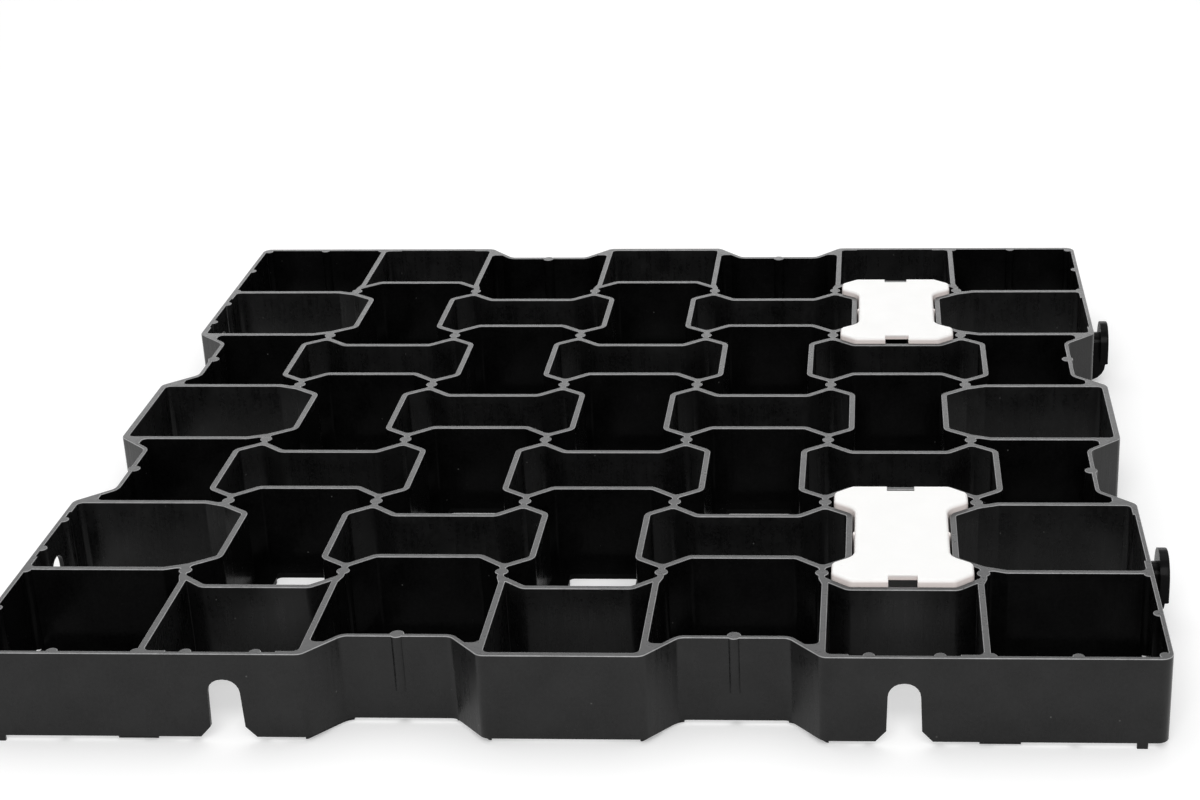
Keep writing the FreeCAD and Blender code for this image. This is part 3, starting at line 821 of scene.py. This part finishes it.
def combined(tree, operation, bodies):
    """One body from several; for a difference the first one is cut by the others."""
    inputs = {"Mesh 2": bodies}
    if operation == "DIFFERENCE":
        inputs = {"Mesh 1": bodies[0], "Mesh 2": bodies[1:]}
    settings = {"operation": operation, "solver": "MANIFOLD"}
    return add_node(tree, "GeometryNodeMeshBoolean", inputs, **settings).outputs[0]


def body_maker(tree, upright):
    """A function that adds one upright body to a tree, its heights given in metres or as sockets."""
    def body(plan, bottom, top, rim=PLAIN_RIM * MM, way=0.0, over=0.0):
        inputs = {"Plan": plan, "Bottom": bottom, "Top": top, "Rim": rim, "Way": way, "Over": over}
        return add_group(tree, upright, inputs)
    return body


def finished(tree, end, body, plastic, polished=None):
    """Ends a tree: crisp edges, smooth faces, real instances and materials, one of them on chosen faces."""
    faces = {"Geometry": body, "Shade Smooth": True}
    smooth = add_node(tree, "GeometryNodeSetShadeSmooth", faces, domain="FACE")
    angle = tree.nodes.new("GeometryNodeInputMeshEdgeAngle")
    crisp = add_math(tree, "GREATER_THAN", angle.outputs["Unsigned Angle"], CRISP_ANGLE)
    edges = {"Geometry": smooth.outputs[0], "Selection": crisp, "Shade Smooth": False}
    creased = add_node(tree, "GeometryNodeSetShadeSmooth", edges, domain="EDGE")
    real = add_node(tree, "GeometryNodeRealizeInstances", {"Geometry": creased.outputs[0]})
    shown = add_node(tree, "GeometryNodeSetMaterial", {"Geometry": real.outputs[0], "Material": plastic})
    if polished:
        chosen = {"Geometry": shown.outputs[0], **polished}
        shown = add_node(tree, "GeometryNodeSetMaterial", chosen)
    tree.links.new(shown.outputs[0], end.inputs[0])


def faces_inside(tree, plans, below):
    """Chooses the faces under a height that look into a hollow lying within all the flat plans."""
    normal = tree.nodes.new("GeometryNodeInputNormal").outputs[0]
    place = tree.nodes.new("GeometryNodeInputPosition").outputs[0]
    ahead = add_vector_math(tree, "MULTIPLY_ADD", normal, (PROBE, PROBE, PROBE), place)
    probe = add_node(tree, "ShaderNodeSeparateXYZ", {"Vector": ahead})
    flat = add_node(tree, "ShaderNodeCombineXYZ", {"X": probe.outputs["X"], "Y": probe.outputs["Y"]})
    chosen = add_math(tree, "LESS_THAN", probe.outputs["Z"], below)
    for plan in plans:
        sample = {"Geometry": plan, "Sample Position": flat.outputs[0]}
        near = add_node(tree, "GeometryNodeProximity", sample, target_element="FACES")
        inside = add_math(tree, "LESS_THAN", near.outputs["Distance"], PROBE_SLACK)
        chosen = add_math(tree, "MULTIPLY", chosen, inside)
    return chosen


def faces_past(tree, reach):
    """Chooses the faces of what stands out past the outer wall."""
    place = tree.nodes.new("GeometryNodeInputPosition").outputs[0]
    along = add_node(tree, "ShaderNodeSeparateXYZ", {"Vector": place})
    furthest = add_math(tree, "MAXIMUM", along.outputs["X"], along.outputs["Y"])
    return add_math(tree, "GREATER_THAN", furthest, reach)


def grid_tree(upright):
    """Node group: the moulded grid, a block hollowed out by its cells and joined by stems and ribs."""
    outlines = ("Outer Face", "Foot Face", "Wall Inside", "Lying Cells", "Standing Cells", "Floor Openings",
                "Recesses", "Corner Feet", "Notch", "Stem", "Stem Side", "Stem Hollow", "Head")
    points = ("Posts", "Indent Ribs", "Joining Places")
    sizes = ("Height", "Wall Lift", "Ledge", "Rim", "Head Rim", "Half Unit")
    inputs = {**dict.fromkeys(outlines + points, OBJECT), **dict.fromkeys(sizes, NUMBER)}
    inputs.update({"Plastic": MATERIAL, "Polished": MATERIAL})
    tree, given, end = new_tree("moulded_grid", "GeometryNodeTree", inputs, "Grid", GEOMETRY)
    body = body_maker(tree, upright)
    plan = {name: bent_plan(tree, given[name]) for name in outlines}
    height = given["Height"]
    lift = given["Wall Lift"]
    ledge = given["Ledge"]
    rim = given["Rim"]
    cut = CUT * MM

    def at_joins(shape):
        euler = add_node(tree, "ShaderNodeCombineXYZ", {"Z": point_size(tree)})
        rotation = add_node(tree, "FunctionNodeEulerToRotation", {"Euler": euler.outputs[0]})
        return on_points(tree, given["Joining Places"], shape, Rotation=rotation.outputs[0])

    def turned_up(shape, about_x, about_z=0.0):
        turn = {"Geometry": shape, "Rotation": (about_x, 0, about_z)}
        return add_node(tree, "GeometryNodeTransform", turn).outputs[0]

    def beyond(millimetres):
        return add_math(tree, "ADD", given["Half Unit"], millimetres * MM)

    block = body(plan["Outer Face"], lift, height, rim, -1.0)
    foot = body(plan["Foot Face"], 0.0, add_math(tree, "ADD", lift, cut))
    lying = body(plan["Lying Cells"], -cut, height, rim, 1.0, cut)
    standing = body(plan["Standing Cells"], ledge, height, rim, 1.0, cut)
    openings = body(plan["Floor Openings"], -cut, add_math(tree, "ADD", ledge, cut / 2))
    recesses = body(plan["Recesses"], -cut, height, rim, 1.0, cut)
    inside = body(plan["Wall Inside"], -2 * cut, height, rim, 1.0, 2 * cut)
    posts = body(round_plan(tree, given["Posts"]), lift, height, rim, -1.0)
    cavity = combined(tree, "UNION", [lying, standing, openings, recesses])
    cavity = combined(tree, "INTERSECT", [cavity, inside])
    cavity = combined(tree, "DIFFERENCE", [cavity, posts])
    notch = turned_up(body(plan["Notch"], beyond(-OUTER_WALL - CUT), beyond(CUT)), QUARTER_TURN)
    grid = combined(tree, "UNION", [block, foot])
    grid = combined(tree, "DIFFERENCE", [grid, cavity, at_joins(notch)])

    half_notch = NOTCH_WIDTH / 2 * MM
    stem = body(plan["Stem"], beyond(-OUTER_WALL), beyond(REACH))
    side = body(plan["Stem Side"], -half_notch, half_notch)
    hollow = body(plan["Stem Hollow"], beyond(0), beyond(STEM_LENGTH))
    head = body(plan["Head"], beyond(STEM_LENGTH), beyond(REACH), given["Head Rim"], -1.0)
    stem = turned_up(stem, -QUARTER_TURN)
    stem = combined(tree, "INTERSECT", [stem, turned_up(side, QUARTER_TURN, QUARTER_TURN)])
    stem = combined(tree, "DIFFERENCE", [stem, turned_up(hollow, -QUARTER_TURN)])
    connector = combined(tree, "UNION", [stem, turned_up(head, -QUARTER_TURN)])
    rib_start = add_math(tree, "SUBTRACT", height, INDENT_RIB_DROP * MM)
    ribs = body(round_plan(tree, given["Indent Ribs"]), rib_start, height, rim, -1.0)
    feet = body(plan["Corner Feet"], 0.0, add_math(tree, "ADD", lift, cut))
    grid = combined(tree, "UNION", [grid, at_joins(connector), ribs, feet])

    hollows = (plan["Standing Cells"], plan["Wall Inside"])
    shiny = faces_inside(tree, hollows, add_math(tree, "SUBTRACT", height, rim))
    shiny = add_math(tree, "MAXIMUM", shiny, faces_past(tree, beyond(CUT / 2)))
    finished(tree, end, grid, given["Plastic"], {"Selection": shiny, "Material": given["Polished"]})
    return tree


def cap_tree(upright):
    """Node group: a marker cap with its skirt, legs, centring nubs and lifting slots."""
    outlines = ("Outline", "Hollow", "Slots", "Legs", "Nubs")
    sizes = ("Top", "Plate", "Skirt End", "Ledge", "Rim", "Slot Rim")
    inputs = {**dict.fromkeys(outlines, OBJECT), **dict.fromkeys(sizes, NUMBER)}
    inputs.update({"Place": VECTOR, "Plastic": MATERIAL})
    tree, given, end = new_tree("marker_cap", "GeometryNodeTree", inputs, "Cap", GEOMETRY)
    body = body_maker(tree, upright)
    plan = {name: bent_plan(tree, given[name]) for name in outlines}
    top = given["Top"]
    skirt_end = given["Skirt End"]
    slot_rim = given["Slot Rim"]
    cut = CUT * MM
    plate_under = add_math(tree, "SUBTRACT", top, given["Plate"])
    below_skirt = add_math(tree, "SUBTRACT", skirt_end, cut)
    shell = body(plan["Outline"], skirt_end, top, given["Rim"], -1.0)
    nubs = body(plan["Nubs"], skirt_end, add_math(tree, "SUBTRACT", top, cut), slot_rim, -1.0)
    legs = body(plan["Legs"], given["Ledge"], add_math(tree, "ADD", skirt_end, cut))
    hollow = body(plan["Hollow"], below_skirt, plate_under)
    slots = body(plan["Slots"], below_skirt, top, slot_rim, 1.0, cut)
    cap = combined(tree, "UNION", [shell, nubs, legs])
    cap = combined(tree, "DIFFERENCE", [cap, hollow, slots])
    placed = add_node(tree, "GeometryNodeTransform", {"Geometry": cap, "Translation": given["Place"]})
    finished(tree, end, placed.outputs[0], given["Plastic"])
    return tree


def outline_object(name, outlines):
    """Curve object with one closed line for each outline; a point's radius is that of its bend."""
    data = bpy.data.curves.new(name, "CURVE")
    data.dimensions = "3D"
    for corners in outlines:
        line = data.splines.new("POLY")
        line.points.add(len(corners) - 1)
        line.use_cyclic_u = True
        for point, (place, radius) in zip(line.points, corners):
            point.co = (place.x * MM, place.y * MM, 0, 1)
            point.radius = radius * MM
    return bpy.data.objects.new(name, data)


def point_object(name, places, unit=MM):
    """Mesh object of loose points, each with a radius or turn stored as its size."""
    mesh = bpy.data.meshes.new(name)
    mesh.from_pydata([(place.x * MM, place.y * MM, 0) for place, size in places], [], [])
    sizes = mesh.attributes.new("size", "FLOAT", "POINT")
    sizes.data.foreach_set("value", [size * unit for place, size in places])
    return bpy.data.objects.new(name, mesh)


def moulded(name, tree, values):
    """Plain mesh object made by a tree with its named inputs set."""
    piece = bpy.data.objects.new(name, bpy.data.meshes.new(name + "_start"))
    bpy.context.scene.collection.objects.link(piece)
    modifier = piece.modifiers.new("moulding", "NODES")
    modifier.node_group = tree
    for socket in tree.interface.items_tree:
        if socket.in_out == "INPUT":
            modifier[socket.identifier] = values[socket.name]
    normals = piece.modifiers.new("flat_faces", "WEIGHTED_NORMAL")
    normals.keep_sharp = True
    shape = piece.evaluated_get(bpy.context.evaluated_depsgraph_get())
    piece.data = bpy.data.meshes.new_from_object(shape)
    piece.modifiers.clear()
    return piece


def grid_piece(tree, plastic, polished):
    """The moulded grid in place of its CAD node."""
    cells = [(column, row) for column in range(1, CELLS + 1) for row in range(1, CELLS + 1)]
    lying = [cell for cell in cells if is_lying(*cell)]
    standing = [cell for cell in cells if not is_lying(*cell)]
    skin = outer_outline()
    arch = NOTCH_WIDTH / 2 - STEM_CLEARANCE
    arch_top = NOTCH_TOP - STEM_CLEARANCE
    outlines = {
        "Outer Face": [bent(skin, 0, OUTER_BEND)],
        "Foot Face": [bent(skin, OUTER_WALL + FOOT_SETBACK, OUTER_BEND)],
        "Wall Inside": [bent(skin, OUTER_THIN, OUTER_BEND)],
        "Lying Cells": [cell_corners(*cell) for cell in lying],
        "Standing Cells": [cell_corners(*cell) for cell in standing],
        "Floor Openings": [opening_corners(*cell) for cell in standing],
        "Recesses": recess_corners(),
        "Corner Feet": foot_corners(),
        "Notch": [notch_corners()],
        "Stem": [upside_down(arch_corners(arch, arch_top, WALL_LIFT))],
        "Stem Side": [stem_side_corners()],
        "Stem Hollow": [upside_down(arch_corners(arch - STEM_WALL, arch_top - STEM_WALL, WALL_LIFT - CUT))],
        "Head": [upside_down(arch_corners(HEAD_WIDTH / 2, HEAD_TOP, HEAD_BOTTOM))],
    }
    values = {name: outline_object(name, corners) for name, corners in outlines.items()}
    values["Posts"] = point_object("Posts", post_places())
    values["Indent Ribs"] = point_object("Indent Ribs", indent_rib_places())
    values["Joining Places"] = point_object("Joining Places", join_places(), 1.0)
    sizes = {"Height": HEIGHT, "Wall Lift": WALL_LIFT, "Ledge": LEDGE, "Rim": RIM, "Head Rim": HEAD_RIM,
             "Half Unit": HALF_UNIT}
    values.update({name: size * MM for name, size in sizes.items()})
    values.update({"Plastic": plastic, "Polished": polished})
    piece = moulded("moulded_grid", tree, values)
    piece.data.transform(Matrix.Translation((MIDDLE * MM, MIDDLE * MM, 0)))
    return piece


def cap_pieces(tree, plastic):
    """Both marker caps in place of their CAD nodes."""
    outline = cap_outline()
    to_wall = WALL / 2 + CAP_GAP
    end = HALF + DENT - to_wall
    legs = []
    for hand in (-1, 1):
        low_x = hand * (CAP_SLOT_WIDTH + CAP_LEG) / 2 - CAP_LEG / 2
        legs += cap_end_strips(low_x, CAP_LEG, end, CAP_WALL)
    nub_reach = HALF - BULGE - WALL / 2 - NUB_GAP
    outlines = {
        "Outline": [bent(outline, to_wall, CAP_BEND)],
        "Hollow": [bent(outline, to_wall + CAP_WALL, CAP_BEND)],
        "Slots": cap_end_strips(-CAP_SLOT_WIDTH / 2, CAP_SLOT_WIDTH, end + CUT, CAP_SLOT_DEPTH + CUT),
        "Legs": legs,
        "Nubs": [rectangle(-nub_reach, -NUB_WIDTH / 2, nub_reach, NUB_WIDTH / 2, NUB_WIDTH / 2)],
    }
    values = {name: outline_object(name, corners) for name, corners in outlines.items()}
    sizes = {"Top": CAP_TOP, "Plate": CAP_PLATE, "Skirt End": HEIGHT - CAP_SKIRT, "Ledge": LEDGE,
             "Rim": CAP_RIM, "Slot Rim": SLOT_RIM}
    values.update({name: size * MM for name, size in sizes.items()})
    values["Plastic"] = plastic
    pieces = {}
    for node, cell in CAP_CELLS.items():
        values["Place"] = (*cell_place(*cell), 0)
        pieces[node] = moulded("white_" + node, tree, values)
    return pieces


effects = {"grain": grain_group(), "streaks": streak_group(), "band": band_group(), "specks": speck_group()}
black = black_plastic("black_plastic", MATT, effects)
polished = black_plastic("polished_black_plastic", POLISHED, effects)
white = white_plastic(effects)
upright = upright_body_tree()
grid = grid_piece(grid_tree(upright), black, polished)
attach(grid, "root")
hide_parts("paver_grid")
for node, cap in cap_pieces(cap_tree(upright), white).items():
    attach(cap, "root")
    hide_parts(node)

add_camera()
for name, lamp in LAMPS.items():
    add_lamp(name, **lamp)
add_world()
add_floor()
bpy.context.scene.view_settings.view_transform = "Standard"
